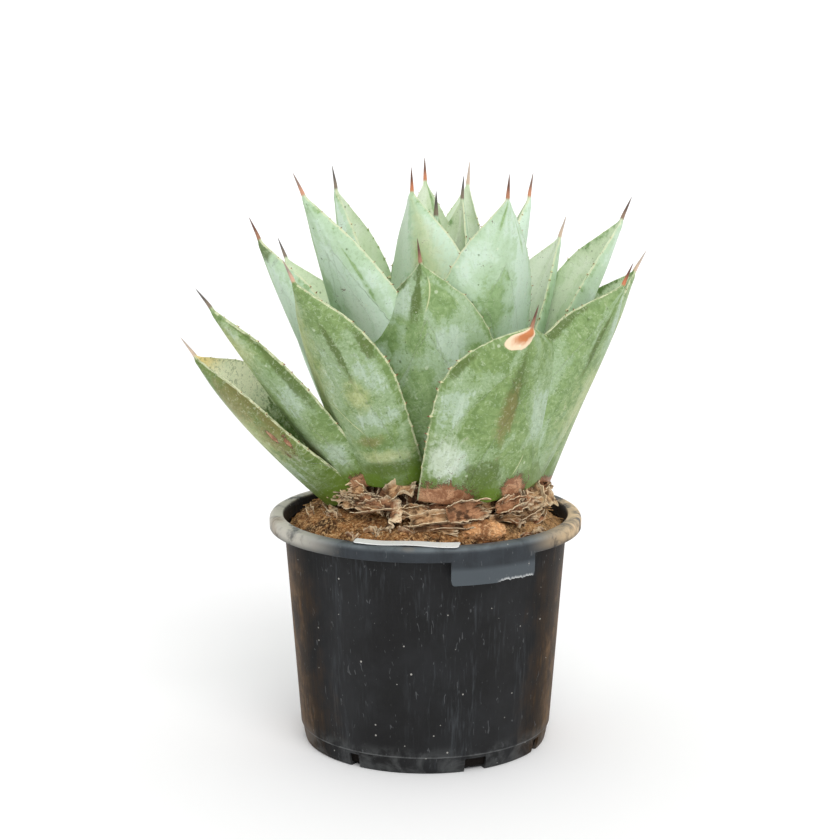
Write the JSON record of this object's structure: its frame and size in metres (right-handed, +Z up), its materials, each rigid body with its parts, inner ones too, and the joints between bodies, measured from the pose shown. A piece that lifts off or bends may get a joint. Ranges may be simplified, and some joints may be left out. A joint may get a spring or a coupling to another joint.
{
  "type": "potted agave",
  "caption": "Agave rosette of broad, waxy, spine-tipped leaves growing in soil in a tapered black plastic nursery pot, with a blank label on its rim.",
  "frame": {"origin": "centre of the pot's flat underside", "axes": "+Z up; -Y is the front, the side with the label and one hand tab; +X is to the right seen from the front"},
  "size_m": [0.442, 0.3755, 0.5587],
  "materials": {
    "pot": "matte",
    "soil": "matte",
    "soil_clod": "matte",
    "plant_label": "satin",
    "stem": "matte",
    "leaf": "satin",
    "heart_leaf": "satin",
    "dry_leaf": "matte"
  },
  "bodies": {
    "root": {"dry_leaf_01": "dry_leaf", "dry_leaf_02": "dry_leaf", "dry_leaf_03": "dry_leaf", "dry_leaf_04": "dry_leaf", "dry_leaf_05": "dry_leaf", "dry_leaf_06": "dry_leaf", "dry_leaf_07": "dry_leaf", "dry_leaf_08": "dry_leaf", "dry_leaf_09": "dry_leaf", "dry_leaf_10": "dry_leaf", "dry_leaf_11": "dry_leaf", "dry_leaf_12": "dry_leaf", "dry_leaf_13": "dry_leaf", "dry_leaf_14": "dry_leaf", "heart_leaf": "heart_leaf", "leaf_01": "leaf", "leaf_02": "leaf", "leaf_03": "leaf", "leaf_04": "leaf", "leaf_05": "leaf", "leaf_06": "leaf", "leaf_07": "leaf", "leaf_08": "leaf", "leaf_09": "leaf", "leaf_10": "leaf", "leaf_11": "leaf", "leaf_12": "leaf", "leaf_13": "leaf", "leaf_14": "leaf", "leaf_15": "leaf", "leaf_16": "leaf", "leaf_17": "leaf", "leaf_18": "leaf", "leaf_19": "leaf", "leaf_20": "leaf", "leaf_21": "leaf", "leaf_22": "leaf", "leaf_23": "leaf", "leaf_24": "leaf", "leaf_25": "leaf", "leaf_26": "leaf", "leaf_27": "leaf", "leaf_28": "leaf", "leaf_29": "leaf", "plant_label": "plant_label", "pot": "pot", "soil": "soil", "soil_clod": "soil_clod", "stem": "stem"}
  },
  "joints": []
}
